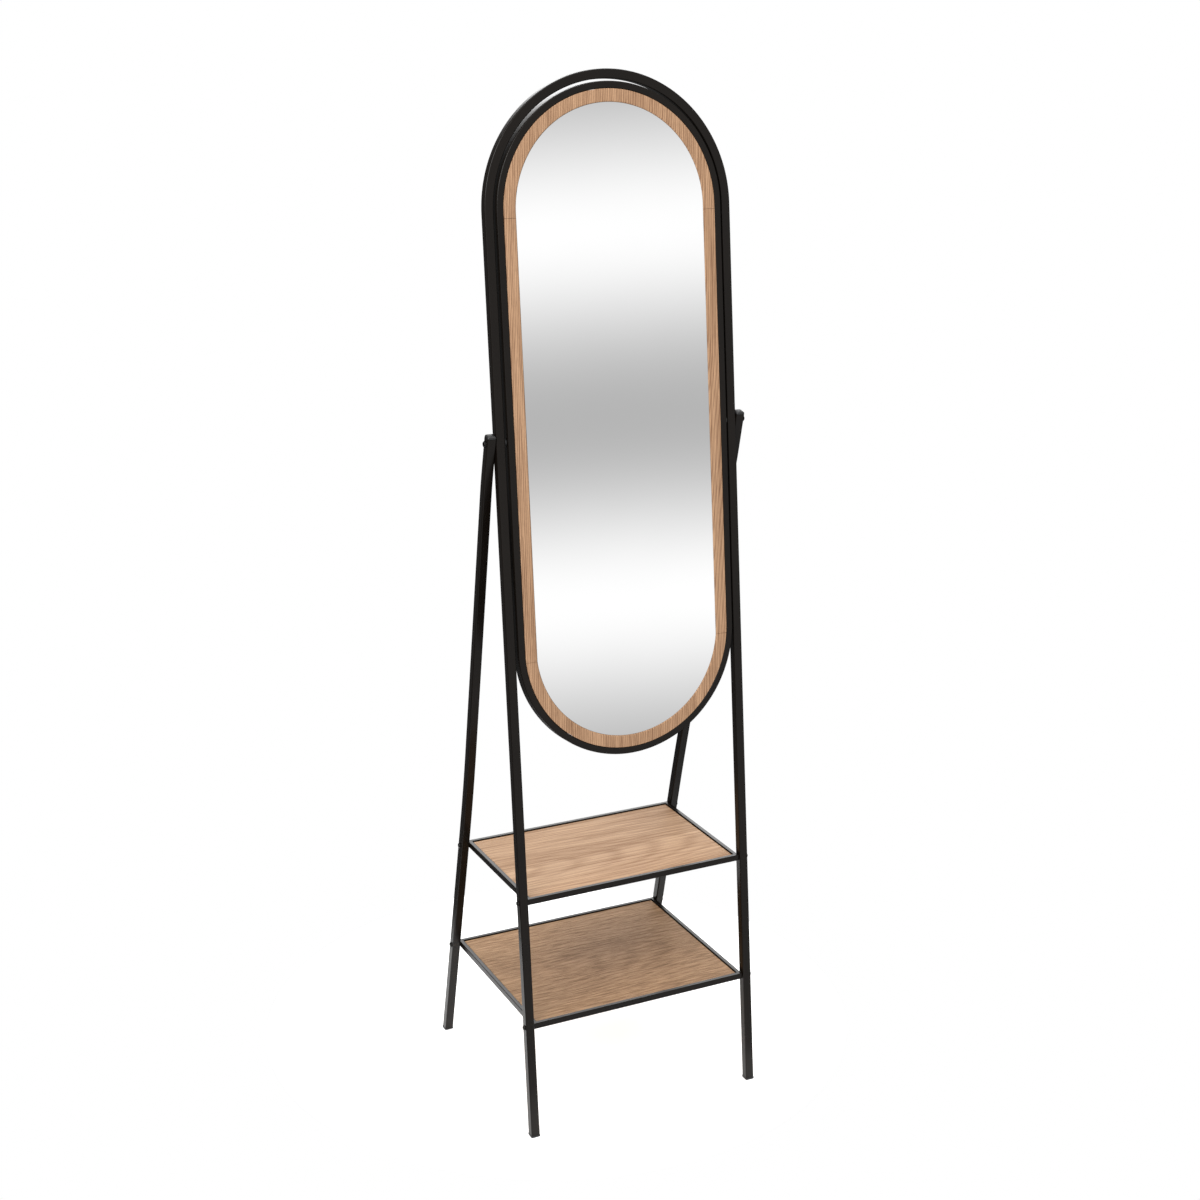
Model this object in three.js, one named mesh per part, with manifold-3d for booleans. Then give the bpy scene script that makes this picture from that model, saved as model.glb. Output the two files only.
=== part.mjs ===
// A cheval floor mirror: a leaning arch of square tube, two rear legs, two shelves and an oval mirror
// that tilts on two pivot bolts. Millimetres, +Z up, front towards -Y. The origin is on the floor,
// midway between the feet.

import * as THREE from "three";
import { mergeVertices } from "three/addons/utils/BufferGeometryUtils.js";
import Module from "manifold-3d";

const wasm = await Module();
wasm.setup();

// ---- driving dimensions ----

const CLEARANCE = 0.3; // kept between pieces that touch

const TUBE = 14; // square tube of the arch and the rear legs
const TUBE_WALL = 1.2;
const TUBE_CORNER = 1.8;
const FRAME_HEIGHT = 1600;
const FRAME_WIDTH = 396; // over the outer faces of the arch
const FOOT_SPREAD = 366; // front foot to rear foot, centre to centre
const PIVOT_HEIGHT = 1078;
const PIVOT_Y = -FOOT_SPREAD / 4;
const REAR_LEG_ABOVE_PIVOT = 9.5; // along the leg, from the pivot to the tube's end
const REAR_LEG_BEND = [395, 480, 560]; // heights where the outward set starts, centres and ends
const REAR_LEG_UNBEND = [1000, 1015, 1030]; // and where the leg turns parallel to the arch again

const FOOT_FLANGE = 3; // thickness of the plastic foot under the tube
const FOOT_FLARE = 0.5; // how far it stands out past the tube on each side
const PLUG_DEPTH = 14; // how far a plastic plug reaches into its tube
const CAP_DOME = 4.5; // height of the caps on the rear legs, and the radius of their tops
const CAP_RADIUS = 13;

const MIRROR_GAP = 3.4; // between the arch and the mirror's rim
const MIRROR_LENGTH = 1001;
const RIM_WIDTH = 10.5; // of the rim's tube, seen from the front
const RIM_DEPTH = 20;
const RIM_WALL = 1.2;
const RIM_CORNER = 1.5;
const RING_WIDTH = 18.9; // wood between the rim and the glass
const RING_THICKNESS = 5.2; // its front is flush with the rim's
const RING_SEAM_TOP = 7; // the top joints lie this far below the start of the top arc
const RING_SEAM_BOTTOM = 15; // and the bottom joints this far below the start of the bottom arc
const GLASS_THICKNESS = 4;
const BACKING_THICKNESS = 9;

const SHELF_HEIGHTS = { upper: 379, lower: 179 }; // the rails' mid-heights
const RAIL_WIDTH = 6.5;
const RAIL_HEIGHT = 9.5;
const RAIL_EASE = 0.7; // bevel along the rails' long edges
const RAIL_CORNER = 1.2; // radius of the shelf frames' corners
const BOARD_THICKNESS = 6;
const BOARD_RECESS = 1.7; // from the rails' top faces down to the board
const BOARD_GAP = 1.2; // between the rails and the board's edges

const TAB_THICKNESS = 1.5;
const TAB_WIDTH = 16;
const TAB_REACH = 13; // how far a tab stands in from its rail or rim
const TAB_HOLE_INSET = 8.5; // from the rail or rim to the tab's screw

const SHELF_BOLT = { shank: 4, length: 26, head: 8, dome: 2.3, socket: 2.5 };
const PIVOT_BOLT = { shank: 6, length: 40, head: 9, dome: 2, socket: 3 };
const BOARD_SCREW = { shank: 3, length: 5.5, head: 6, dome: 1.6, socket: 2 };
const BACKING_SCREW = { shank: 3, length: 8, head: 6, dome: 1.6, socket: 2 };
const PIVOT_SPACER_DIAMETER = 12;
const PIVOT_WASHER = { diameter: 11, thickness: 0.8 };
const PIVOT_NUT = { diameter: 10, thickness: 5 };
const PIVOT_PLAY = 0.1; // between a pivot bolt and the holes it turns in

const ARC_STEPS = 32; // steps in a half circle
const CORNER_STEPS = 2; // steps round a rounded rectangle's corner
const ROUND_SIDES = 12; // sides of a bolt, screw or washer
const PIVOT_SIDES = 24; // sides of the pivot bolts and of the holes they turn in

// ---- dimensions that follow ----

const FRONT_LEAN = Math.atan((FOOT_SPREAD / 2 + PIVOT_Y) / PIVOT_HEIGHT);
const REAR_LEAN = Math.atan((FOOT_SPREAD / 2 - PIVOT_Y) / PIVOT_HEIGHT);
const ARCH_RADIUS = FRAME_WIDTH / 2;
const ARCH_TOP = FRAME_HEIGHT / Math.cos(FRONT_LEAN) - (TUBE / 2) * Math.tan(FRONT_LEAN);
const ARCH_CENTRE = ARCH_TOP - ARCH_RADIUS; // both measured along the leaning arch from the floor
const LEG_X = ARCH_RADIUS - TUBE / 2;
const LEG_INNER_FACE = ARCH_RADIUS - TUBE;
const REAR_LEG_TOP_X = LEG_X + TUBE + CLEARANCE;
const PIVOT_ALONG_ARCH = PIVOT_HEIGHT / Math.cos(FRONT_LEAN);
const PIVOT_ALONG_REAR_LEG = PIVOT_HEIGHT / Math.cos(REAR_LEAN);
const REAR_LEG_END = PIVOT_ALONG_REAR_LEG + REAR_LEG_ABOVE_PIVOT;
const FOOT_CUT = FOOT_FLANGE + CLEARANCE; // height where the tubes end above the floor

const RIM_RADIUS = ARCH_RADIUS - TUBE - MIRROR_GAP;
const RIM_TOP = ARCH_TOP - TUBE - MIRROR_GAP - PIVOT_ALONG_ARCH; // from the pivot, along the mirror
const RIM_BOTTOM = RIM_TOP - MIRROR_LENGTH;
const RING_INNER = RIM_RADIUS - RIM_WIDTH - RING_WIDTH;
const TOP_ARC_START = RIM_TOP - RIM_RADIUS;
const BOTTOM_ARC_START = RIM_BOTTOM + RIM_RADIUS;
const SEAM_TOP = TOP_ARC_START - RING_SEAM_TOP;
const SEAM_BOTTOM = BOTTOM_ARC_START - RING_SEAM_BOTTOM;
const GLASS_BOTTOM = RIM_BOTTOM + RIM_WIDTH + RING_WIDTH;
const RING_FRONT = -RIM_DEPTH / 2;
const RING_BACK = RING_FRONT + RING_THICKNESS;
const BACKING_FRONT = RING_BACK + CLEARANCE;
const BACKING_BACK = BACKING_FRONT + BACKING_THICKNESS;
const RIM_TAB_FRONT = BACKING_BACK + CLEARANCE;

// ---- materials ----

const paintedSteel = new THREE.MeshStandardMaterial({ color: 0x1a1917, roughness: 0.45, metalness: 0.3 });
const blackPlastic = new THREE.MeshStandardMaterial({ color: 0x141414, roughness: 0.55, metalness: 0 });
const blackSteel = new THREE.MeshStandardMaterial({ color: 0x101010, roughness: 0.35, metalness: 0.8 });
const zincSteel = new THREE.MeshStandardMaterial({ color: 0xa8a9ab, roughness: 0.35, metalness: 1 });
const ringWood = new THREE.MeshStandardMaterial({ color: 0xb98d68, roughness: 0.6, metalness: 0 });
const upperBoardWood = new THREE.MeshStandardMaterial({ color: 0xc39f7e, roughness: 0.6, metalness: 0 });
const lowerBoardWood = new THREE.MeshStandardMaterial({ color: 0x9e7b5c, roughness: 0.65, metalness: 0 });
const silveredGlass = new THREE.MeshStandardMaterial({ color: 0xe8eaec, roughness: 0.02, metalness: 1 });
const backingFibre = new THREE.MeshStandardMaterial({ color: 0x4a3f35, roughness: 0.85, metalness: 0 });

// ---- solids ----

// The closed geometry as a solid that can be cut and joined.
function toSolid(geometry) {
  const bare = geometry.clone();
  bare.deleteAttribute("normal");
  bare.deleteAttribute("uv");
  const merged = mergeVertices(bare, 1e-4);
  return new wasm.Manifold(
    new wasm.Mesh({
      numProp: 3,
      vertProperties: merged.attributes.position.array,
      triVerts: new Uint32Array(merged.index.array),
    }),
  );
}

function toGeometry(solid) {
  const { vertProperties, triVerts } = solid.getMesh();
  const geometry = new THREE.BufferGeometry();
  geometry.setAttribute("position", new THREE.BufferAttribute(vertProperties, 3));
  geometry.setIndex(new THREE.BufferAttribute(triVerts, 1));
  geometry.computeVertexNormals();
  return geometry;
}

function cut(geometry, tools) {
  const solid = tools.reduce((rest, tool) => rest.subtract(toSolid(tool)), toSolid(geometry));
  return toGeometry(solid);
}

function join(geometry, others) {
  const solid = others.reduce((whole, other) => whole.add(toSolid(other)), toSolid(geometry));
  return toGeometry(solid);
}

function common(geometry, other) {
  return toGeometry(toSolid(geometry).intersect(toSolid(other)));
}

function box(low, high) {
  const [x, y, z] = low.map((value, axis) => (value + high[axis]) / 2);
  const size = low.map((value, axis) => high[axis] - value);
  return new THREE.BoxGeometry(...size).translate(x, y, z);
}

// A round bar along X, between two places on it.
function barAlongX(radius, fromX, toX, y = 0, z = 0, sides = ROUND_SIDES) {
  return new THREE.CylinderGeometry(radius, radius, Math.abs(toX - fromX), sides)
    .rotateZ(Math.PI / 2)
    .translate((fromX + toX) / 2, y, z);
}

// A round bar along Y, between two places on it.
function barAlongY(radius, fromY, toY, x, z) {
  return new THREE.CylinderGeometry(radius, radius, Math.abs(toY - fromY), ROUND_SIDES)
    .translate(x, (fromY + toY) / 2, z);
}

// A round bar along Z, between two places on it.
function barAlongZ(radius, fromZ, toZ, x = 0, y = 0) {
  return new THREE.CylinderGeometry(radius, radius, Math.abs(toZ - fromZ), ROUND_SIDES)
    .rotateX(Math.PI / 2)
    .translate(x, y, (fromZ + toZ) / 2);
}

// An outline drawn in X and Z, made solid from the front to the back, with its long edges eased.
function upright(outline, front, back, corner = 0) {
  const geometry = new THREE.ExtrudeGeometry(outline, {
    depth: back - front - 2 * corner,
    curveSegments: ARC_STEPS / 2,
    bevelEnabled: corner > 0,
    bevelThickness: corner,
    bevelSize: corner,
    bevelOffset: -corner,
    bevelSegments: 1,
  });
  return geometry.rotateX(Math.PI / 2).translate(0, back - corner, 0);
}

// An outline drawn in X and Y, made solid upwards between two heights, with its long edges eased.
function flat(outline, bottom, top, corner = 0) {
  const geometry = new THREE.ExtrudeGeometry(outline, {
    depth: top - bottom - 2 * corner,
    curveSegments: CORNER_STEPS,
    bevelEnabled: corner > 0,
    bevelThickness: corner,
    bevelSize: corner,
    bevelOffset: -corner,
    bevelSegments: 1,
  });
  return geometry.translate(0, 0, bottom + corner);
}

// A rectangle with rounded corners, centred on x and y.
function roundedRectangle(width, depth, radius, x = 0, y = 0) {
  const [west, east] = [x - width / 2, x + width / 2];
  const [south, north] = [y - depth / 2, y + depth / 2];
  const outline = new THREE.Shape();
  outline.moveTo(west + radius, south);
  outline.lineTo(east - radius, south);
  outline.absarc(east - radius, south + radius, radius, -Math.PI / 2, 0, false);
  outline.lineTo(east, north - radius);
  outline.absarc(east - radius, north - radius, radius, 0, Math.PI / 2, false);
  outline.lineTo(west + radius, north);
  outline.absarc(west + radius, north - radius, radius, Math.PI / 2, Math.PI, false);
  outline.lineTo(west, south + radius);
  outline.absarc(west + radius, south + radius, radius, Math.PI, 1.5 * Math.PI, false);
  return outline;
}

// Everything below a height above the floor, in the frame of something that leans by an angle.
function belowFloorLine(lean, height) {
  const reach = 60;
  const slab = box([-FRAME_WIDTH, -reach, -reach], [FRAME_WIDTH, reach, height]);
  return slab.rotateX(lean);
}

// A button-head bolt with a hexagonal socket. It points along -Z, its head's underside at z = 0.
function buttonHead({ shank, length, head, dome, socket }, sides = ROUND_SIDES) {
  const profile = [
    new THREE.Vector2(0, -length),
    new THREE.Vector2(shank / 2 - 0.4, -length),
    new THREE.Vector2(shank / 2, -length + 0.5),
    new THREE.Vector2(shank / 2, 0),
    new THREE.Vector2(head / 2, 0),
    new THREE.Vector2(head / 2, dome * 0.3),
    new THREE.Vector2(head * 0.42, dome * 0.72),
    new THREE.Vector2(head * 0.28, dome),
    new THREE.Vector2(0, dome),
  ];
  const body = new THREE.LatheGeometry(profile, sides).rotateX(Math.PI / 2);
  const recess = new THREE.CylinderGeometry(socket / 2, socket / 2, dome, 6)
    .rotateX(Math.PI / 2)
    .translate(0, 0, dome * 0.9);
  return cut(body, [recess]);
}

// The hole for a pivot bolt, between two places on the X axis.
function pivotHole(fromX, toX, z = 0) {
  return barAlongX(PIVOT_BOLT.shank / 2 + PIVOT_PLAY, fromX, toX, 0, z, PIVOT_SIDES);
}

// A flat ring on a pivot bolt.
function pivotRing(diameter, thickness) {
  const outer = barAlongX(diameter / 2, -thickness / 2, thickness / 2, 0, 0, PIVOT_SIDES);
  return cut(outer, [pivotHole(-thickness, thickness)]);
}

// ---- the arch ----

// The centre of the arch's tube at a height above the floor.
function archY(height) {
  return -FOOT_SPREAD / 2 + height * Math.tan(FRONT_LEAN);
}

// The centre of a rear leg at a height above the floor.
function rearLegY(height) {
  return FOOT_SPREAD / 2 - height * Math.tan(REAR_LEAN);
}

// The outline of the inverted U, set in by a distance, and reaching past the floor.
function archOutline(inset) {
  const outer = ARCH_RADIUS - inset;
  const inner = ARCH_RADIUS - TUBE + inset;
  const below = -20;
  const outline = new THREE.Shape();
  outline.moveTo(-outer, below);
  outline.lineTo(-inner, below);
  outline.lineTo(-inner, ARCH_CENTRE);
  outline.absarc(0, ARCH_CENTRE, inner, Math.PI, 0, true);
  outline.lineTo(inner, below);
  outline.lineTo(outer, below);
  outline.lineTo(outer, ARCH_CENTRE);
  outline.absarc(0, ARCH_CENTRE, outer, 0, Math.PI, false);
  return outline;
}

function frontFrame() {
  const half = TUBE / 2;
  const solid = upright(archOutline(0), -half, half, TUBE_CORNER);
  const hollow = upright(archOutline(TUBE_WALL), -half + TUBE_WALL, half - TUBE_WALL);
  const reach = FRAME_WIDTH;
  const holes = Object.values(SHELF_HEIGHTS).map((height) =>
    barAlongX(SHELF_BOLT.shank / 2 + CLEARANCE, -reach, reach, 0, height / Math.cos(FRONT_LEAN)),
  );
  const pivotHoles = pivotHole(-reach, reach, PIVOT_ALONG_ARCH);
  return cut(solid, [hollow, ...holes, pivotHoles, belowFloorLine(FRONT_LEAN, FOOT_CUT)]);
}

// ---- the rear legs ----

// The route of a rear leg's centre line, in X and along the leg: straight up past the upper shelf,
// set outwards by one tube, and parallel to the arch at the pivot.
function rearLegRoute() {
  const along = (height) => height / Math.cos(REAR_LEAN);
  const [bendStart, bendMiddle, bendEnd] = REAR_LEG_BEND;
  const [unbendStart, unbendMiddle, unbendEnd] = REAR_LEG_UNBEND;
  const slope = (REAR_LEG_TOP_X - LEG_X) / (unbendMiddle - bendMiddle);
  const route = new THREE.Path();
  route.moveTo(LEG_X, -20);
  route.lineTo(LEG_X, along(bendStart));
  route.quadraticCurveTo(
    LEG_X,
    along(bendMiddle),
    LEG_X + slope * (bendEnd - bendMiddle),
    along(bendEnd),
  );
  route.lineTo(REAR_LEG_TOP_X - slope * (unbendMiddle - unbendStart), along(unbendStart));
  route.quadraticCurveTo(REAR_LEG_TOP_X, along(unbendMiddle), REAR_LEG_TOP_X, along(unbendEnd));
  route.lineTo(REAR_LEG_TOP_X, REAR_LEG_END + TUBE);
  return route.getPoints(6);
}

// The leg's outline from the front, a half width to each side of its route.
function rearLegOutline(halfWidth) {
  const route = rearLegRoute();
  const side = (offset) => route.map(({ x, y }) => new THREE.Vector2(x + offset, y));
  return new THREE.Shape([...side(halfWidth), ...side(-halfWidth).reverse()]);
}

function rearLeg() {
  const half = TUBE / 2;
  const solid = upright(rearLegOutline(half), -half, half, TUBE_CORNER);
  const hollow = upright(rearLegOutline(half - TUBE_WALL), -half + TUBE_WALL, half - TUBE_WALL);
  const aboveEnd = box([0, -TUBE, REAR_LEG_END], [FRAME_WIDTH, TUBE, REAR_LEG_END + 2 * TUBE]);
  const holes = Object.values(SHELF_HEIGHTS).map((height) =>
    barAlongX(SHELF_BOLT.shank / 2 + CLEARANCE, 0, FRAME_WIDTH, 0, height / Math.cos(REAR_LEAN)),
  );
  const boltHole = pivotHole(0, FRAME_WIDTH, PIVOT_ALONG_REAR_LEG);
  return cut(solid, [hollow, aboveEnd, ...holes, boltHole, belowFloorLine(-REAR_LEAN, FOOT_CUT)]);
}

// ---- plastic plugs ----

// A foot: a flange flat on the floor and a plug that runs up into the leaning tube.
function foot(lean) {
  const width = TUBE + 2 * FOOT_FLARE;
  const depth = TUBE / Math.cos(lean) + 2 * FOOT_FLARE;
  const flange = flat(roundedRectangle(width, depth, TUBE_CORNER), 0, FOOT_FLANGE, 0.5);
  const inside = TUBE - 2 * TUBE_WALL - 2 * CLEARANCE;
  const plug = flat(roundedRectangle(inside, inside, 1), FOOT_FLANGE / 2, PLUG_DEPTH).rotateX(-lean);
  return join(flange, [plug]);
}

// A domed cap on a tube that ends square, with its plug inside. The tube ends at z = 0.
function domedCap() {
  const pillow = flat(roundedRectangle(TUBE, TUBE, TUBE_CORNER), CLEARANCE, 2 * CAP_DOME);
  const ball = new THREE.SphereGeometry(CAP_RADIUS, 2 * ROUND_SIDES, ROUND_SIDES)
    .rotateX(Math.PI / 2)
    .translate(0, 0, CAP_DOME - CAP_RADIUS);
  const inside = TUBE - 2 * TUBE_WALL - 2 * CLEARANCE;
  const plug = flat(roundedRectangle(inside, inside, 1), -PLUG_DEPTH / 4, CAP_DOME / 2);
  return join(common(pillow, ball), [plug]);
}

// ---- the shelves ----

// A shelf's width and depth over its rails, and the middle of its depth, from its height.
function shelfSize(height) {
  const front = archY(height) - RAIL_WIDTH / 2;
  const back = rearLegY(height) + RAIL_WIDTH / 2;
  return {
    width: 2 * (LEG_INNER_FACE - CLEARANCE),
    depth: back - front,
    middle: (front + back) / 2,
  };
}

// The four places of a shelf's tabs' screws, in the shelf's own frame.
function tabScrewPlaces({ width, depth }) {
  const x = width / 2 - RAIL_WIDTH - TAB_HOLE_INSET;
  const y = depth / 2 - RAIL_WIDTH - TAB_WIDTH;
  return [-1, 1].flatMap((sideX) => [-1, 1].map((sideY) => [sideX * x, sideY * y]));
}

// A frame of bars with four tabs under its board. Its own frame is centred on the rails.
function shelfFrame(size) {
  const { width, depth } = size;
  const outline = roundedRectangle(width, depth, RAIL_CORNER);
  outline.holes.push(roundedRectangle(width - 2 * RAIL_WIDTH, depth - 2 * RAIL_WIDTH, RAIL_CORNER));
  const rails = flat(outline, -RAIL_HEIGHT / 2, RAIL_HEIGHT / 2, RAIL_EASE);
  const tabs = tabScrewPlaces(size).map(([x, y]) => {
    const rail = Math.sign(x) * (width / 2 - RAIL_WIDTH);
    const ends = [rail + Math.sign(x), rail - Math.sign(x) * TAB_REACH];
    const bottom = -RAIL_HEIGHT / 2 + 0.2;
    return box(
      [Math.min(...ends), y - TAB_WIDTH / 2, bottom],
      [Math.max(...ends), y + TAB_WIDTH / 2, bottom + TAB_THICKNESS],
    );
  });
  const screwHoles = tabScrewPlaces(size).map(([x, y]) =>
    barAlongZ(BOARD_SCREW.shank / 2 + CLEARANCE, -RAIL_HEIGHT, 0, x, y),
  );
  const boltReach = SHELF_BOLT.length - TUBE + CLEARANCE;
  const boltHoles = [-1, 1].flatMap((sideX) =>
    [-1, 1].map((sideY) => {
      const y = (sideY * (depth - RAIL_WIDTH)) / 2;
      const end = sideX * (width / 2 - boltReach);
      return barAlongX(SHELF_BOLT.shank / 2 + CLEARANCE, end, sideX * (width / 2 + 1), y, 0);
    }),
  );
  return cut(join(rails, tabs), [...screwHoles, ...boltHoles]);
}

// The board lies on the tabs, a little below the rails' top faces.
function shelfBoard(size) {
  const width = size.width - 2 * (RAIL_WIDTH + BOARD_GAP);
  const depth = size.depth - 2 * (RAIL_WIDTH + BOARD_GAP);
  const top = RAIL_HEIGHT / 2 - BOARD_RECESS;
  const bottom = top - BOARD_THICKNESS;
  const holes = tabScrewPlaces(size).map(([x, y]) =>
    barAlongZ(BOARD_SCREW.shank / 2 + CLEARANCE, bottom - 1, bottom + BOARD_SCREW.length - 0.6, x, y),
  );
  return cut(flat(roundedRectangle(width, depth, 1), bottom, top, 0.4), holes);
}

// ---- the mirror; its own frame is centred on the pivot, X across and Z along the glass ----

// An oval with straight sides, set in from the rim's outer edge.
function oval(inset) {
  const radius = RIM_RADIUS - inset;
  const outline = new THREE.Shape();
  outline.moveTo(-radius, BOTTOM_ARC_START);
  outline.absarc(0, BOTTOM_ARC_START, radius, Math.PI, 2 * Math.PI, false);
  outline.lineTo(radius, TOP_ARC_START);
  outline.absarc(0, TOP_ARC_START, radius, 0, Math.PI, false);
  return outline;
}

// The edge of the wood against the glass. Its bottom arc starts at the wood's joints, at an angle.
function glassOutline(inset) {
  const half = RING_INNER - inset;
  const bottom = GLASS_BOTTOM + inset;
  const rise = SEAM_BOTTOM - bottom;
  const radius = (half * half + rise * rise) / (2 * rise);
  const angle = Math.asin((bottom + radius - SEAM_BOTTOM) / radius);
  const outline = new THREE.Shape();
  outline.moveTo(-half, SEAM_BOTTOM);
  outline.absarc(0, bottom + radius, radius, Math.PI + angle, 2 * Math.PI - angle, false);
  outline.lineTo(half, TOP_ARC_START);
  outline.absarc(0, TOP_ARC_START, half, 0, Math.PI, false);
  return outline;
}

// The places of the rim's tabs: their middles at the rim's inner face, and the way they point.
function rimTabPlaces() {
  const inner = RIM_RADIUS - RIM_WIDTH;
  const rows = [TOP_ARC_START - 60, (TOP_ARC_START + BOTTOM_ARC_START) / 2, BOTTOM_ARC_START + 60];
  const left = rows.map((z) => ({ x: -inner, z, angle: 0 }));
  const right = rows.map((z) => ({ x: inner, z, angle: Math.PI }));
  const top = { x: 0, z: RIM_TOP - RIM_WIDTH, angle: Math.PI / 2 };
  const bottom = { x: 0, z: RIM_BOTTOM + RIM_WIDTH, angle: -Math.PI / 2 };
  return [...left, ...right, top, bottom];
}

function rimTabScrewPlaces() {
  return rimTabPlaces().map(({ x, z, angle }) => ({
    x: x + TAB_HOLE_INSET * Math.cos(angle),
    z: z - TAB_HOLE_INSET * Math.sin(angle),
  }));
}

function mirrorRim() {
  const half = RIM_DEPTH / 2;
  const outline = oval(0);
  outline.holes.push(oval(RIM_WIDTH));
  const solid = upright(outline, -half, half, RIM_CORNER);
  const hollowOutline = oval(RIM_WALL);
  hollowOutline.holes.push(oval(RIM_WIDTH - RIM_WALL));
  const hollow = upright(hollowOutline, -half + RIM_WALL, half - RIM_WALL);
  const tabs = rimTabPlaces().map(({ x, z, angle }) =>
    box([-1, RIM_TAB_FRONT, -TAB_WIDTH / 2], [TAB_REACH, RIM_TAB_FRONT + TAB_THICKNESS, TAB_WIDTH / 2])
      .rotateY(angle)
      .translate(x, 0, z),
  );
  const screwHoles = rimTabScrewPlaces().map(({ x, z }) =>
    barAlongY(BACKING_SCREW.shank / 2 + CLEARANCE, 0, RIM_DEPTH, x, z),
  );
  const boltHoles = [-1, 1].map((side) =>
    pivotHole(side * (RIM_RADIUS - RIM_WIDTH / 2), side * (RIM_RADIUS + RIM_WIDTH)),
  );
  return cut(join(cut(solid, [hollow]), tabs), [...screwHoles, ...boltHoles]);
}

// One of the ring's four pieces: what lies between two places along the mirror, on one or both sides.
function ringPiece(west, east, bottom, top) {
  const outline = oval(RIM_WIDTH + CLEARANCE);
  outline.holes.push(glassOutline(0));
  const ring = upright(outline, RING_FRONT, RING_BACK);
  return common(ring, box([west, -RIM_DEPTH, bottom], [east, RIM_DEPTH, top]));
}

function mirrorGlass() {
  return upright(glassOutline(CLEARANCE), RING_BACK - GLASS_THICKNESS, RING_BACK);
}

function backingBoard() {
  const board = upright(oval(RIM_WIDTH + CLEARANCE), BACKING_FRONT, BACKING_BACK);
  const depth = BACKING_SCREW.length - TAB_THICKNESS - CLEARANCE;
  const holes = rimTabScrewPlaces().map(({ x, z }) =>
    barAlongY(BACKING_SCREW.shank / 2 + CLEARANCE, BACKING_BACK - depth, BACKING_BACK + 1, x, z),
  );
  return cut(board, holes);
}

// ---- assembly ----

const cheval = new THREE.Group();
const SIDES = { left: -1, right: 1 };

function place(parent, name, geometry, material, position = [0, 0, 0], rotation = [0, 0, 0]) {
  const mesh = new THREE.Mesh(geometry, material);
  mesh.name = name;
  mesh.position.set(...position);
  mesh.rotation.set(...rotation);
  parent.add(mesh);
  return mesh;
}

// A group at the foot of something that leans, turned about X by its lean.
function leaningGroup(parent, y, z, turn) {
  const group = new THREE.Group();
  group.position.set(0, y, z);
  group.rotation.x = turn;
  parent.add(group);
  return group;
}

function addStand() {
  const arch = leaningGroup(cheval, -FOOT_SPREAD / 2, 0, -FRONT_LEAN);
  const rear = leaningGroup(cheval, FOOT_SPREAD / 2, 0, REAR_LEAN);
  place(arch, "front_frame", frontFrame(), paintedSteel);
  const leg = rearLeg();
  const mirroredLeg = toGeometry(toSolid(leg).mirror([1, 0, 0]));
  place(rear, "rear_leg_right", leg, paintedSteel);
  place(rear, "rear_leg_left", mirroredLeg, paintedSteel);
  for (const [side, sign] of Object.entries(SIDES)) {
    const legEnd = [sign * REAR_LEG_TOP_X, 0, REAR_LEG_END];
    place(rear, `rear_leg_cap_${side}`, domedCap(), blackPlastic, legEnd);
    const frontFoot = [sign * LEG_X, -FOOT_SPREAD / 2, 0];
    const rearFoot = [sign * LEG_X, FOOT_SPREAD / 2, 0];
    place(cheval, `foot_front_${side}`, foot(FRONT_LEAN), blackPlastic, frontFoot);
    place(cheval, `foot_rear_${side}`, foot(-REAR_LEAN), blackPlastic, rearFoot);
  }
}

function addShelf(name, height, boardWood) {
  const size = shelfSize(height);
  const shelf = new THREE.Group();
  shelf.position.set(0, size.middle, height);
  cheval.add(shelf);
  place(shelf, `${name}_shelf_frame`, shelfFrame(size), paintedSteel);
  place(shelf, `${name}_shelf_board`, shelfBoard(size), boardWood);
  const boltY = (size.depth - RAIL_WIDTH) / 2;
  const tabBottom = -RAIL_HEIGHT / 2 + 0.2;
  for (const [side, sign] of Object.entries(SIDES)) {
    for (const [end, endSign] of Object.entries({ front: -1, rear: 1 })) {
      const head = [sign * (ARCH_RADIUS + CLEARANCE), endSign * boltY, 0];
      place(shelf, `${name}_shelf_bolt_${end}_${side}`, buttonHead(SHELF_BOLT), blackSteel, head, [
        0,
        (sign * Math.PI) / 2,
        0,
      ]);
    }
  }
  tabScrewPlaces(size).forEach(([x, y], index) => {
    const seat = [x, y, tabBottom - CLEARANCE];
    const screw = buttonHead(BOARD_SCREW);
    place(shelf, `${name}_board_screw_${index + 1}`, screw, zincSteel, seat, [Math.PI, 0, 0]);
  });
}

function addMirror() {
  const mirror = leaningGroup(cheval, PIVOT_Y, PIVOT_HEIGHT, -FRONT_LEAN);
  const wide = RIM_RADIUS;
  const seam = CLEARANCE / 2;
  place(mirror, "mirror_rim", mirrorRim(), paintedSteel);
  place(mirror, "mirror_glass", mirrorGlass(), silveredGlass);
  place(mirror, "backing_board", backingBoard(), backingFibre);
  place(mirror, "wood_ring_top", ringPiece(-wide, wide, SEAM_TOP + seam, RIM_TOP), ringWood);
  place(mirror, "wood_ring_bottom", ringPiece(-wide, wide, RIM_BOTTOM, SEAM_BOTTOM - seam), ringWood);
  place(mirror, "wood_ring_left", ringPiece(-wide, 0, SEAM_BOTTOM + seam, SEAM_TOP - seam), ringWood);
  place(mirror, "wood_ring_right", ringPiece(0, wide, SEAM_BOTTOM + seam, SEAM_TOP - seam), ringWood);
  const screwSeat = RIM_TAB_FRONT + TAB_THICKNESS + CLEARANCE;
  rimTabScrewPlaces().forEach(({ x, z }, index) => {
    const name = `backing_screw_${index + 1}`;
    place(mirror, name, buttonHead(BACKING_SCREW), zincSteel, [x, screwSeat, z], [-Math.PI / 2, 0, 0]);
  });
}

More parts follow.
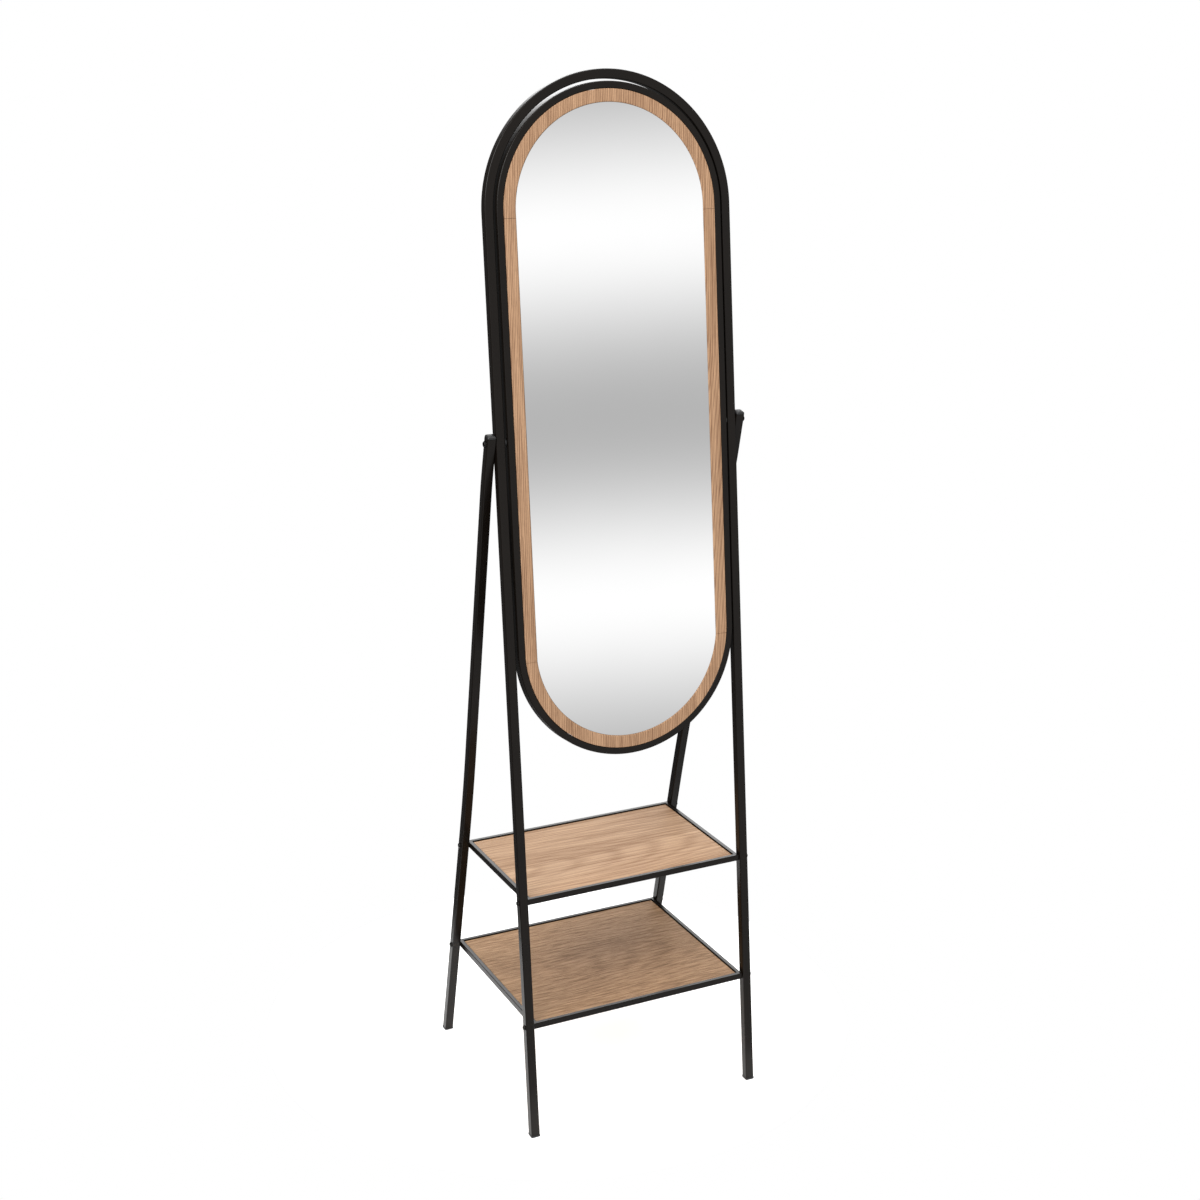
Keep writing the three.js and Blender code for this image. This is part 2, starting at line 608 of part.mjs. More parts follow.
function addPivots() {
  const spacerThickness = MIRROR_GAP - 2 * CLEARANCE;
  const washerX = REAR_LEG_TOP_X + TUBE / 2 + CLEARANCE + PIVOT_WASHER.thickness / 2;
  const headX = washerX + PIVOT_WASHER.thickness / 2 + CLEARANCE;
  const spacerX = (LEG_INNER_FACE + RIM_RADIUS) / 2;
  const nutX = RIM_RADIUS - RIM_WALL - CLEARANCE - PIVOT_NUT.thickness / 2;
  for (const [side, sign] of Object.entries(SIDES)) {
    const at = (x) => [sign * x, PIVOT_Y, PIVOT_HEIGHT];
    const turn = [0, (sign * Math.PI) / 2, 0];
    const spacer = pivotRing(PIVOT_SPACER_DIAMETER, spacerThickness);
    const washer = pivotRing(PIVOT_WASHER.diameter, PIVOT_WASHER.thickness);
    const nut = pivotRing(PIVOT_NUT.diameter, PIVOT_NUT.thickness);
    place(cheval, `pivot_spacer_${side}`, spacer, blackPlastic, at(spacerX));
    place(cheval, `pivot_washer_${side}`, washer, blackSteel, at(washerX));
    place(cheval, `pivot_nut_${side}`, nut, zincSteel, at(nutX));
    place(cheval, `pivot_bolt_${side}`, buttonHead(PIVOT_BOLT, PIVOT_SIDES), blackSteel, at(headX), turn);
  }
}

addStand();
addShelf("upper", SHELF_HEIGHTS.upper, upperBoardWood);
addShelf("lower", SHELF_HEIGHTS.lower, lowerBoardWood);
addMirror();
addPivots();

export default cheval;
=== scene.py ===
"""Looks of a cheval floor mirror: fine pieces, materials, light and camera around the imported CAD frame.

Metres, +Z up, front towards -Y, origin on the floor midway between the feet. Most pieces are drawn in
one of three upright frames, which hold X across, Y through the thickness and Z along the piece: the
leaning arch, the leaning rear legs, and the mirror, whose frame is centred on its pivot.
"""

import math

import bmesh
import bpy
from mathutils import Matrix, Vector

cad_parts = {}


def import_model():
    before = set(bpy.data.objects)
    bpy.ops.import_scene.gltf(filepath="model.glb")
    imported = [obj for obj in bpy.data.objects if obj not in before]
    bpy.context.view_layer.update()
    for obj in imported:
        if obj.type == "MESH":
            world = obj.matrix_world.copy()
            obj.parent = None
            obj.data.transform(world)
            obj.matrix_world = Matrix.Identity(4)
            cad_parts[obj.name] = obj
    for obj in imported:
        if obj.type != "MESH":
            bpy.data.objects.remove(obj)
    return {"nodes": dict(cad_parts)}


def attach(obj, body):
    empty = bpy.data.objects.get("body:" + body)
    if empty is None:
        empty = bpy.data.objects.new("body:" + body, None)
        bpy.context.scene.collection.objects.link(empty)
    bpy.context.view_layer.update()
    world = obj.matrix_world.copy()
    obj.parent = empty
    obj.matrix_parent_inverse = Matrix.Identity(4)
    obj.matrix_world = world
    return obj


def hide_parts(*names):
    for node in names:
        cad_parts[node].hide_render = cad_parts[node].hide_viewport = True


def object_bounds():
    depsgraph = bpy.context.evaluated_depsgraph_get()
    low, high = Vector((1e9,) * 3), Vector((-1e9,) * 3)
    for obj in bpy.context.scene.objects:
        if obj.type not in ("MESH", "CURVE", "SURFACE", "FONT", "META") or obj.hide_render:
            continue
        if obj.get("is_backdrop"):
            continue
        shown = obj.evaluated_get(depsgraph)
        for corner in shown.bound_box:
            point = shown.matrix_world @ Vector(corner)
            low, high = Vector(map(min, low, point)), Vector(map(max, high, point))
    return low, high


MM = 0.001

# ---- the CAD model's dimensions, repeated ----

CLEARANCE = 0.3 * MM
TUBE = 14 * MM
TUBE_CORNER = 2.0 * MM
FRAME_HEIGHT = 1600 * MM
FRAME_WIDTH = 396 * MM
FOOT_SPREAD = 366 * MM
PIVOT_HEIGHT = 1078 * MM
PIVOT_Y = -FOOT_SPREAD / 4
REAR_LEG_ABOVE_PIVOT = 9.5 * MM
REAR_LEG_BEND = [395 * MM, 480 * MM, 560 * MM]
REAR_LEG_UNBEND = [1000 * MM, 1015 * MM, 1030 * MM]
FOOT_FLANGE = 3 * MM
FOOT_FLARE = 0.5 * MM
CAP_DOME = 4.5 * MM
CAP_BAND = 1.3 * MM
CAP_EASE = 0.25 * MM
MIRROR_GAP = 3.4 * MM
MIRROR_LENGTH = 1001 * MM
RIM_WIDTH = 10.5 * MM
RIM_DEPTH = 20 * MM
RIM_CORNER = 1.8 * MM
RING_WIDTH = 18.9 * MM
RING_THICKNESS = 5.2 * MM
RING_CHAMFER_WIDTH = 2.0 * MM
RING_CHAMFER_DEPTH = 1.0 * MM
RING_SEAM_TOP = 7 * MM
RING_SEAM_BOTTOM = 15 * MM
GLASS_THICKNESS = 4 * MM
BACKING_THICKNESS = 9 * MM
SHELF_HEIGHTS = {"upper": 379 * MM, "lower": 179 * MM}
RAIL_WIDTH = 6.5 * MM
RAIL_HEIGHT = 9.5 * MM
BOARD_THICKNESS = 6 * MM
BOARD_RECESS = 1.7 * MM
BOARD_GAP = 1.2 * MM
TAB_THICKNESS = 1.5 * MM
TAB_WIDTH = 16 * MM
TAB_REACH = 13 * MM
TAB_HOLE_INSET = 8.5 * MM
TAB_RISE = 0.2 * MM
SHELF_BOLT = {"shank": 4 * MM, "length": 26 * MM, "head": 8 * MM, "dome": 2.3 * MM, "socket": 2.5 * MM}
PIVOT_BOLT = {"shank": 6 * MM, "length": 40 * MM, "head": 9 * MM, "dome": 2 * MM, "socket": 3 * MM}
BOARD_SCREW = {"shank": 3 * MM, "length": 5.5 * MM, "head": 6 * MM, "dome": 1.6 * MM, "socket": 2 * MM}
BACKING_SCREW = {"shank": 3 * MM, "length": 8 * MM, "head": 6 * MM, "dome": 1.6 * MM, "socket": 2 * MM}
PIVOT_SPACER_DIAMETER = 12 * MM
PIVOT_WASHER = {"diameter": 11 * MM, "thickness": 0.8 * MM}

FRONT_LEAN = math.atan((FOOT_SPREAD / 2 + PIVOT_Y) / PIVOT_HEIGHT)
REAR_LEAN = math.atan((FOOT_SPREAD / 2 - PIVOT_Y) / PIVOT_HEIGHT)
ARCH_RADIUS = FRAME_WIDTH / 2
ARCH_TOP = FRAME_HEIGHT / math.cos(FRONT_LEAN) - (TUBE / 2) * math.tan(FRONT_LEAN)
ARCH_CENTRE = ARCH_TOP - ARCH_RADIUS
LEG_X = ARCH_RADIUS - TUBE / 2
REAR_LEG_TOP_X = LEG_X + TUBE + CLEARANCE
PIVOT_ALONG_ARCH = PIVOT_HEIGHT / math.cos(FRONT_LEAN)
PIVOT_ALONG_REAR_LEG = PIVOT_HEIGHT / math.cos(REAR_LEAN)
REAR_LEG_END = PIVOT_ALONG_REAR_LEG + REAR_LEG_ABOVE_PIVOT
FOOT_CUT = FOOT_FLANGE + CLEARANCE
RIM_RADIUS = ARCH_RADIUS - TUBE - MIRROR_GAP
RIM_TOP = ARCH_TOP - TUBE - MIRROR_GAP - PIVOT_ALONG_ARCH
RIM_BOTTOM = RIM_TOP - MIRROR_LENGTH
RING_INNER = RIM_RADIUS - RIM_WIDTH - RING_WIDTH
TOP_ARC_START = RIM_TOP - RIM_RADIUS
BOTTOM_ARC_START = RIM_BOTTOM + RIM_RADIUS
SEAM_TOP = TOP_ARC_START - RING_SEAM_TOP
SEAM_BOTTOM = BOTTOM_ARC_START - RING_SEAM_BOTTOM
GLASS_BOTTOM = RIM_BOTTOM + RIM_WIDTH + RING_WIDTH
RING_FRONT = -RIM_DEPTH / 2
RING_BACK = RING_FRONT + RING_THICKNESS
BACKING_FRONT = RING_BACK + CLEARANCE
BACKING_BACK = BACKING_FRONT + BACKING_THICKNESS
RIM_TAB_FRONT = BACKING_BACK + CLEARANCE

ARCH_FRAME = Matrix.Translation((0, -FOOT_SPREAD / 2, 0)) @ Matrix.Rotation(-FRONT_LEAN, 4, "X")
REAR_FRAME = Matrix.Translation((0, FOOT_SPREAD / 2, 0)) @ Matrix.Rotation(REAR_LEAN, 4, "X")
MIRROR_FRAME = Matrix.Translation((0, PIVOT_Y, PIVOT_HEIGHT)) @ Matrix.Rotation(-FRONT_LEAN, 4, "X")
SIDES = {"left": -1, "right": 1}

# ---- fineness ----

ARC_STEPS = 96  # steps in a half circle
CORNER_STEPS = 5  # steps round a tube's corner
ROUND_STEPS = 48  # steps round a bolt, screw or washer
BEND_STEPS = 16  # steps in a rear leg's long bend, and twice its short one's
CAP_STEPS = 10  # steps up a cap's dome
CAP_FULLNESS = 0.7  # 1 is a round dome, and less is a fuller pillow
HEAD_STEPS = 8  # steps over a bolt's head
SHARP_ANGLE = math.radians(38)


# ---- mesh tools ----


def rounded_rectangle(width, height, radius, steps=CORNER_STEPS):
    """The points of a rectangle with rounded corners, anticlockwise, centred on (0, 0)."""
    points = []
    for quarter in range(4):
        start = quarter * math.pi / 2
        sign_x = 1 if quarter in (0, 3) else -1
        sign_y = 1 if quarter in (0, 1) else -1
        centre = (sign_x * (width / 2 - radius), sign_y * (height / 2 - radius))
        for step in range(steps + 1):
            angle = start + step * math.pi / 2 / steps
            points.append((centre[0] + radius * math.cos(angle), centre[1] + radius * math.sin(angle)))
    return points


def add_rings(mesh, rings, closed=False, capped=True):
    """Joins rings of points, all of one length, into a skin, and closes its two ends."""
    rows = [[mesh.verts.new(point) for point in ring] for ring in rings]
    count = len(rows[0])
    following = rows[1:] + (rows[:1] if closed else [])
    for row, after in zip(rows, following):
        for i in range(count):
            j = (i + 1) % count
            mesh.faces.new((row[i], row[j], after[j], after[i]))
    if capped and not closed:
        mesh.faces.new(reversed(rows[0]))
        mesh.faces.new(rows[-1])
    return rows


def sweep_rings(stations, profile):
    """A profile's rings along stations, each a centre, the profile's x direction and its y direction."""
    return [[centre + u * a + v * b for a, b in profile] for centre, u, v in stations]


def add_block(mesh, low, high, matrix=None):
    """A plain block between two corners, for a tab."""
    x, y, z = zip(low, high)
    corners = [(x[0], y[0]), (x[1], y[0]), (x[1], y[1]), (x[0], y[1])]
    rings = [[Vector((a, b, c)) for a, b in corners] for c in z]
    if matrix:
        rings = [[matrix @ point for point in ring] for ring in rings]
    add_rings(mesh, rings)


def add_lathe(mesh, profile, matrix, closed=False):
    """A turned solid about Z, from a list of (radius, height): end to end, or right round a hole."""
    rings = []
    for radius, height in profile:
        turns = [2 * math.pi * step / ROUND_STEPS for step in range(ROUND_STEPS)]
        radii = [radius(turn) if callable(radius) else radius for turn in turns]
        ring = [Vector((r * math.cos(t), r * math.sin(t), height)) for r, t in zip(radii, turns)]
        rings.append([matrix @ point for point in ring])
    add_rings(mesh, rings, closed)


def finish_piece(name, mesh, material, body, nodes, frame_matrix=None, bevel=0.0):
    """Makes an object of the mesh: smooth, with sharp edges where it turns, riding and replacing."""
    if frame_matrix:
        mesh.transform(frame_matrix)
    bmesh.ops.recalc_face_normals(mesh, faces=mesh.faces)
    for face in mesh.faces:
        face.smooth = True
    data = bpy.data.meshes.new(name)
    mesh.to_mesh(data)
    mesh.free()
    data.set_sharp_from_angle(angle=SHARP_ANGLE)
    data.materials.append(material)
    piece = bpy.data.objects.new(name, data)
    bpy.context.scene.collection.objects.link(piece)
    if bevel:
        eased = piece.modifiers.new("eased_edges", "BEVEL")
        eased.width = bevel
        eased.segments = 3
        eased.limit_method = "ANGLE"
        eased.angle_limit = SHARP_ANGLE
    normals = piece.modifiers.new("even_normals", "WEIGHTED_NORMAL")
    normals.keep_sharp = True
    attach(piece, body)
    if nodes:
        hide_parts(*nodes)
    return piece


# ---- the stand's tubes ----


def floor_cut(ring, turn):
    """Slides a leaning tube's end ring along the tube, so that it ends level above the floor."""
    height = [(FOOT_CUT - p.y * math.sin(turn)) / math.cos(turn) for p in ring]
    return [Vector((p.x, p.y, z)) for p, z in zip(ring, height)]


def arch_stations():
    depth = Vector((0, 1, 0))
    stations = [(Vector((-LEG_X, 0, 0)), Vector((-1, 0, 0)), depth)]
    for step in range(ARC_STEPS + 1):
        angle = math.pi - math.pi * step / ARC_STEPS
        out = Vector((math.cos(angle), 0, math.sin(angle)))
        stations.append((Vector((0, 0, ARCH_CENTRE)) + out * LEG_X, out, depth))
    stations.append((Vector((LEG_X, 0, 0)), Vector((1, 0, 0)), depth))
    return stations


def make_arch(material):
    profile = rounded_rectangle(TUBE, TUBE, TUBE_CORNER)
    rings = sweep_rings(arch_stations(), profile)
    rings[0] = floor_cut(rings[0], -FRONT_LEAN)
    rings[-1] = floor_cut(rings[-1], -FRONT_LEAN)
    mesh = bmesh.new()
    add_rings(mesh, rings)
    finish_piece("arch_tube", mesh, material, "stand", ["front_frame"], ARCH_FRAME)


def quadratic(start, middle, end, steps):
    """Points of a quadratic curve, after its start."""
    points = []
    for step in range(1, steps + 1):
        t = step / steps
        points.append(start * (1 - t) ** 2 + middle * 2 * t * (1 - t) + end * t**2)
    return points


def rear_leg_route():
    """A right rear leg's centre line in X and Z of its own frame."""
    low, middle, high = [height / math.cos(REAR_LEAN) for height in REAR_LEG_BEND]
    back_low, back_middle, back_high = [height / math.cos(REAR_LEAN) for height in REAR_LEG_UNBEND]
    slope = (REAR_LEG_TOP_X - LEG_X) / (back_middle - middle)
    route = [Vector((LEG_X, 0, 0)), Vector((LEG_X, 0, low))]
    bend_end = Vector((LEG_X + slope * (high - middle), 0, high))
    route += quadratic(route[-1], Vector((LEG_X, 0, middle)), bend_end, BEND_STEPS)
    route.append(Vector((REAR_LEG_TOP_X - slope * (back_middle - back_low), 0, back_low)))
    top_middle = Vector((REAR_LEG_TOP_X, 0, back_middle))
    unbend_end = Vector((REAR_LEG_TOP_X, 0, back_high))
    route += quadratic(route[-1], top_middle, unbend_end, BEND_STEPS // 2)
    route.append(Vector((REAR_LEG_TOP_X, 0, REAR_LEG_END)))
    return route


def make_rear_leg(side, sign, material):
    profile = rounded_rectangle(TUBE, TUBE, TUBE_CORNER)
    across, depth = Vector((sign, 0, 0)), Vector((0, 1, 0))
    stations = [(Vector((sign * p.x, 0, p.z)), across, depth) for p in rear_leg_route()]
    rings = sweep_rings(stations, profile)
    rings[0] = floor_cut(rings[0], REAR_LEAN)
    mesh = bmesh.new()
    add_rings(mesh, rings)
    name = f"rear_leg_{side}"
    finish_piece(f"{name}_tube", mesh, material, "stand", [name], REAR_FRAME)


def make_rear_cap(side, sign, material):
    """A pillow-shaped plastic cap, pressed into the end of a rear leg."""
    levels = [(0.985, CLEARANCE), (1.0, CLEARANCE + CAP_EASE), (1.0, CAP_BAND)]
    rise = CAP_DOME - CAP_BAND
    for step in range(1, CAP_STEPS + 1):
        angle = step * math.pi / 2 / (CAP_STEPS + 0.5)
        levels.append((math.cos(angle) ** CAP_FULLNESS, CAP_BAND + rise * math.sin(angle)))
    outline = rounded_rectangle(TUBE, TUBE, TUBE_CORNER + 0.6 * MM)
    rings = [[Vector((x * s, y * s, z)) for x, y in outline] for s, z in levels]
    mesh = bmesh.new()
    add_rings(mesh, rings)
    place = REAR_FRAME @ Matrix.Translation((sign * REAR_LEG_TOP_X, 0, REAR_LEG_END))
    name = f"rear_leg_cap_{side}"
    finish_piece(f"{name}_dome", mesh, material, "stand", [name], place)


def make_foot(node, x, y, lean, material):
    """A plastic foot whose flange lies flat on the floor and flares a little past the tube."""
    width = TUBE + 2 * FOOT_FLARE
    depth = TUBE / math.cos(lean) + 2 * FOOT_FLARE
    # how far each side stands out, and the height, both in millimetres
    levels = [(-0.5, 0), (-0.12, 0.2), (0, 0.6), (0, 2.2), (-0.15, 2.7), (-0.5, 3.0)]
    rings = []
    for grow, height in levels:
        outline = rounded_rectangle(width + 2 * grow * MM, depth + 2 * grow * MM, TUBE_CORNER)
        rings.append([Vector((a, b, height * MM)) for a, b in outline])
    mesh = bmesh.new()
    add_rings(mesh, rings)
    place = Matrix.Translation((x, y, 0))
    finish_piece(f"{node}_flange", mesh, material, "stand", [node], place)


def make_stand(materials):
    make_arch(materials["paint"])
    for side, sign in SIDES.items():
        make_rear_leg(side, sign, materials["paint"])
        make_rear_cap(side, sign, materials["plastic"])
        x, y = sign * LEG_X, FOOT_SPREAD / 2
        make_foot(f"foot_front_{side}", x, -y, FRONT_LEAN, materials["plastic"])
        make_foot(f"foot_rear_{side}", x, y, REAR_LEAN, materials["plastic"])


# ---- the shelves ----


def shelf_size(height):
    front = -FOOT_SPREAD / 2 + height * math.tan(FRONT_LEAN) - RAIL_WIDTH / 2
    back = FOOT_SPREAD / 2 - height * math.tan(REAR_LEAN) + RAIL_WIDTH / 2
    return 2 * (ARCH_RADIUS - TUBE - CLEARANCE), back - front, (front + back) / 2


def tab_screw_places(width, depth):
    x = width / 2 - RAIL_WIDTH - TAB_HOLE_INSET
    y = depth / 2 - RAIL_WIDTH - TAB_WIDTH
    return [(sx * x, sy * y) for sx in (-1, 1) for sy in (-1, 1)]


def rectangle(width, depth, z):
    x, y = width / 2, depth / 2
    return [Vector(p) for p in ((-x, -y, z), (x, -y, z), (x, y, z), (-x, y, z))]


def make_shelf_frame(name, height, size, material):
    width, depth, middle = size
    inner = (width - 2 * RAIL_WIDTH, depth - 2 * RAIL_WIDTH)
    half = RAIL_HEIGHT / 2
    mesh = bmesh.new()
    loops = [
        rectangle(width, depth, half),
        rectangle(width, depth, -half),
        rectangle(*inner, -half),
        rectangle(*inner, half),
    ]
    add_rings(mesh, loops, closed=True)
    bottom = -half + TAB_RISE
    for x, y in tab_screw_places(width, depth):
        side = math.copysign(1, x)
        ends = sorted((side * (inner[0] / 2 + 1 * MM), side * (inner[0] / 2 - TAB_REACH)))
        low = (ends[0], y - TAB_WIDTH / 2, bottom)
        high = (ends[1], y + TAB_WIDTH / 2, bottom + TAB_THICKNESS)
        add_block(mesh, low, high)
    place = Matrix.Translation((0, middle, height))
    node = f"{name}_shelf_frame"
    finish_piece(f"{node}_rails", mesh, material, "stand", [node], place, 0.7 * MM)


def make_board(name, height, size, material):
    width, depth, middle = size
    inset = 2 * (RAIL_WIDTH + BOARD_GAP)
    outline = rounded_rectangle(width - inset, depth - inset, 1 * MM, 3)
    top = RAIL_HEIGHT / 2 - BOARD_RECESS
    levels = (top - BOARD_THICKNESS, top)
    mesh = bmesh.new()
    add_rings(mesh, [[Vector((x, y, z)) for x, y in outline] for z in levels])
    place = Matrix.Translation((0, middle, height))
    node = f"{name}_shelf_board"
    finish_piece(f"{node}_oak", mesh, material, "stand", [node], place, 0.5 * MM)


def make_shelf(name, height, materials):
    size = shelf_size(height)
    width, depth, middle = size
    make_shelf_frame(name, height, size, materials["paint"])
    make_board(name, height, size, materials[f"{name}_board"])
    for side, sign in SIDES.items():
        for end, end_sign in {"front": -1, "rear": 1}.items():
            node = f"{name}_shelf_bolt_{end}_{side}"
            y = middle + end_sign * (depth - RAIL_WIDTH) / 2
            seat = Matrix.Translation((sign * (ARCH_RADIUS + CLEARANCE), y, height))
            place = seat @ Matrix.Rotation(sign * math.pi / 2, 4, "Y")
            make_bolt(node, SHELF_BOLT, place, materials["black_steel"], "stand")
    seat_height = height - RAIL_HEIGHT / 2 + TAB_RISE - CLEARANCE
    for index, (x, y) in enumerate(tab_screw_places(width, depth)):
        place = Matrix.Translation((x, middle + y, seat_height)) @ Matrix.Rotation(math.pi, 4, "X")
        node = f"{name}_board_screw_{index + 1}"
        make_bolt(node, BOARD_SCREW, place, materials["zinc"], "stand")


# ---- bolts and washers ----


def hexagon(across_flats):
    """The radius of a hexagon at an angle."""

    def radius(turn):
        sector = math.pi / 3
        return across_flats / 2 / math.cos((turn % sector) - sector / 2)

    return radius


def make_bolt(node, bolt, place, material, body):
    """A button head with a hexagonal socket, pointing along -Z from its seat."""
    head, dome, shank, socket = bolt["head"] / 2, bolt["dome"], bolt["shank"] / 2, bolt["socket"]
    edge = dome * 0.25
    flat = socket * 0.66
    profile = [
        (shank - 0.4 * MM, -bolt["length"]),
        (shank, -bolt["length"] + 0.5 * MM),
        (shank, 0),
        (head - 0.2 * MM, 0),
        (head, 0.15 * MM),
        (head, edge),
    ]
    for step in range(1, HEAD_STEPS + 1):
        angle = step * math.pi / 2 / HEAD_STEPS
        radius = flat + (head - flat) * math.cos(angle)
        profile.append((radius, edge + (dome - edge) * math.sin(angle)))
    profile += [
        (hexagon(socket + 0.1 * MM), dome - 0.02 * MM),
        (hexagon(socket), dome - 0.15 * MM),
        (hexagon(socket), dome * 0.35),
    ]
    mesh = bmesh.new()
    add_lathe(mesh, profile, place)
    finish_piece(f"{node}_button", mesh, material, body, [node])


def make_pivot_ring(node, outer, thickness, x, material, ease):
    """A washer or spacer on a pivot bolt, with eased edges."""
    hole = PIVOT_BOLT["shank"] / 2 + 0.1 * MM
    half = thickness / 2
    profile = [
        (hole, -half),
        (outer / 2 - ease, -half),
        (outer / 2, -half + ease),
        (outer / 2, half - ease),
        (outer / 2 - ease, half),
        (hole, half),
    ]
    place = Matrix.Translation((x, PIVOT_Y, PIVOT_HEIGHT)) @ Matrix.Rotation(math.pi / 2, 4, "Y")
    mesh = bmesh.new()
    add_lathe(mesh, profile, place, closed=True)
    finish_piece(f"{node}_ring", mesh, material, "stand", [node])


def make_pivots(materials):
    washer_x = REAR_LEG_TOP_X + TUBE / 2 + CLEARANCE + PIVOT_WASHER["thickness"] / 2
    head_x = washer_x + PIVOT_WASHER["thickness"] / 2 + CLEARANCE
    spacer_x = (ARCH_RADIUS - TUBE + RIM_RADIUS) / 2
    spacer_thickness = MIRROR_GAP - 2 * CLEARANCE
    for side, sign in SIDES.items():
        make_pivot_ring(
            f"pivot_washer_{side}",
            PIVOT_WASHER["diameter"],
            PIVOT_WASHER["thickness"],
            sign * washer_x,
            materials["black_steel"],
            0.2 * MM,
        )
        make_pivot_ring(
            f"pivot_spacer_{side}",
            PIVOT_SPACER_DIAMETER,
            spacer_thickness,
            sign * spacer_x,
            materials["plastic"],
            0.4 * MM,
        )
        seat = Matrix.Translation((sign * head_x, PIVOT_Y, PIVOT_HEIGHT))
        place = seat @ Matrix.Rotation(sign * math.pi / 2, 4, "Y")
        bolt = f"pivot_bolt_{side}"
        make_bolt(bolt, PIVOT_BOLT, place, materials["black_steel"], "mirror")


# ---- the mirror ----


def oval(inset, steps=ARC_STEPS):
    """The points and outward directions of the rim's outline, set in, all the way round."""
    points = []
    for centre, first in ((TOP_ARC_START, 0.0), (BOTTOM_ARC_START, math.pi)):
        for step in range(steps + 1):
            angle = first + math.pi * step / steps
            out = Vector((math.cos(angle), 0, math.sin(angle)))
            points.append((Vector((0, 0, centre)) + out * (RIM_RADIUS - inset), out))
    return points


def glass_arc():
    """The radius, centre height and end angle of the glass's bottom edge at the wood."""
    rise = SEAM_BOTTOM - GLASS_BOTTOM
    radius = (RING_INNER**2 + rise**2) / (2 * rise)
    centre = GLASS_BOTTOM + radius
    return radius, centre, math.asin((centre - SEAM_BOTTOM) / radius)


def glass_outline(inset):
    """The edge of the wood against the glass, anticlockwise from the right end of the top arc."""
    half = RING_INNER - inset
    points = []
    for step in range(ARC_STEPS + 1):
        angle = math.pi * step / ARC_STEPS
        points.append(Vector((half * math.cos(angle), 0, TOP_ARC_START + half * math.sin(angle))))
    radius, centre, end = glass_arc()
    scale = half / (radius * math.cos(end))
    for step in range(ARC_STEPS + 1):
        angle = math.pi + end + (math.pi - 2 * end) * step / ARC_STEPS
        x = radius * math.cos(angle) * scale
        z = centre + (radius - inset) * math.sin(angle)
        points.append(Vector((x, 0, z)))
    return points


def make_rim(material):
    profile = rounded_rectangle(RIM_WIDTH, RIM_DEPTH, RIM_CORNER)
    depth = Vector((0, 1, 0))
    stations = [(point, out, depth) for point, out in oval(RIM_WIDTH / 2)]
    mesh = bmesh.new()
    add_rings(mesh, sweep_rings(stations, profile), closed=True)
    for x, z, angle in rim_tab_places():
        low = (-1 * MM, RIM_TAB_FRONT, -TAB_WIDTH / 2)
        high = (TAB_REACH, RIM_TAB_FRONT + TAB_THICKNESS, TAB_WIDTH / 2)
        turned = Matrix.Translation((x, 0, z)) @ Matrix.Rotation(angle, 4, "Y")
        add_block(mesh, low, high, turned)
    nodes = ["mirror_rim"]
    finish_piece("mirror_rim_tube", mesh, material, "mirror", nodes, MIRROR_FRAME)


def rim_tab_places():
    inner = RIM_RADIUS - RIM_WIDTH
    rows = (TOP_ARC_START - 60 * MM, (TOP_ARC_START + BOTTOM_ARC_START) / 2, BOTTOM_ARC_START + 60 * MM)
    left = [(-inner, z, 0) for z in rows]
    right = [(inner, z, math.pi) for z in rows]
    ends = [(0, RIM_TOP - RIM_WIDTH, math.pi / 2), (0, RIM_BOTTOM + RIM_WIDTH, -math.pi / 2)]
    return left + right + ends


def ring_edges():
    """For each of the ring's pieces, matching points on its outer and inner edges."""
    outer = RIM_RADIUS - RIM_WIDTH - CLEARANCE
    gap = CLEARANCE / 2
    top_pairs = [((outer, SEAM_TOP + gap), (RING_INNER, SEAM_TOP + gap))]
    for step in range(ARC_STEPS + 1):
        angle = math.pi * step / ARC_STEPS
        c, s = math.cos(angle), math.sin(angle)
        top_pairs.append(
            ((outer * c, TOP_ARC_START + outer * s), (RING_INNER * c, TOP_ARC_START + RING_INNER * s))
        )
    top_pairs.append(((-outer, SEAM_TOP + gap), (-RING_INNER, SEAM_TOP + gap)))

    radius, centre, end = glass_arc()
    outer_end = math.asin((BOTTOM_ARC_START - SEAM_BOTTOM + gap) / outer)
    inner_end = math.asin((centre - SEAM_BOTTOM + gap) / radius)
    bottom_pairs = []
    for step in range(ARC_STEPS + 1):
        t = step / ARC_STEPS
        a = math.pi + outer_end + (math.pi - 2 * outer_end) * t
        b = math.pi + inner_end + (math.pi - 2 * inner_end) * t
        bottom_pairs.append(
            (
                (outer * math.cos(a), BOTTOM_ARC_START + outer * math.sin(a)),
                (radius * math.cos(b), centre + radius * math.sin(b)),
            )
        )

    low, high = SEAM_BOTTOM + gap, SEAM_TOP - gap
    arc_drop = BOTTOM_ARC_START - low
    drops = (arc_drop, arc_drop / 2, 0)
    side_outer = [(math.sqrt(outer**2 - drop**2), BOTTOM_ARC_START - drop) for drop in drops]
    side_inner = [(RING_INNER, z) for _, z in side_outer]
    right_pairs = list(zip(side_outer, side_inner)) + [((outer, high), (RING_INNER, high))]
    left_pairs = [((-a[0], a[1]), (-b[0], b[1])) for a, b in right_pairs]
    return {"top": top_pairs, "bottom": bottom_pairs, "left": left_pairs, "right": right_pairs}


def ring_section(outer, inner):
    """The wood's section between matching points on its two edges, chamfered towards the glass."""
    outer = Vector((outer[0], 0, outer[1]))
    inner = Vector((inner[0], 0, inner[1]))
    shoulder = inner + (outer - inner).normalized() * RING_CHAMFER_WIDTH
    front, back = Vector((0, RING_FRONT, 0)), Vector((0, RING_BACK, 0))
    below = Vector((0, RING_FRONT + RING_CHAMFER_DEPTH, 0))
    return [outer + back, outer + front, shoulder + front, inner + below, inner + back]


